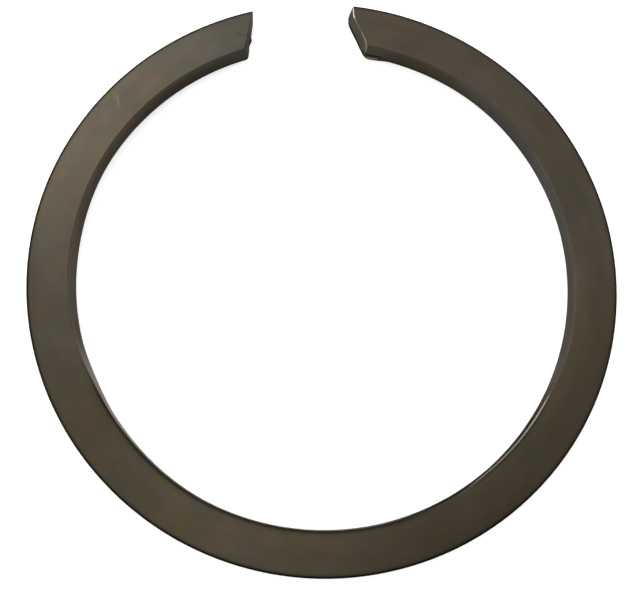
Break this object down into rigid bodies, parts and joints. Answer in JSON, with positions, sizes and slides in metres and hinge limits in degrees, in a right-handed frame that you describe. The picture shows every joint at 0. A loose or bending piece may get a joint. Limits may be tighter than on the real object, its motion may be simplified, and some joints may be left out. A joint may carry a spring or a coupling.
{
  "type": "retaining ring",
  "caption": "Open retaining ring of constant rectangular section in blackened spring steel, with slanted sheared ends and a gap that widens inwards, for a shaft groove.",
  "frame": {"origin": "on the ring's axis, in the plane of the lower face, on which it lies", "axes": "+Z along the ring's axis, out of the upper face; +Y through the middle of the gap between the ends; +X towards the end with the steeper slant and the blunted tip"},
  "size_m": [0.095, 0.0943, 0.004],
  "materials": {
    "blackened_steel": "phosphated and oiled spring steel, dark olive brown, satin and faintly mottled, worn bright along the edge of one end"
  },
  "bodies": {
    "root": {"retaining_ring": "blackened_steel"}
  },
  "joints": []
}
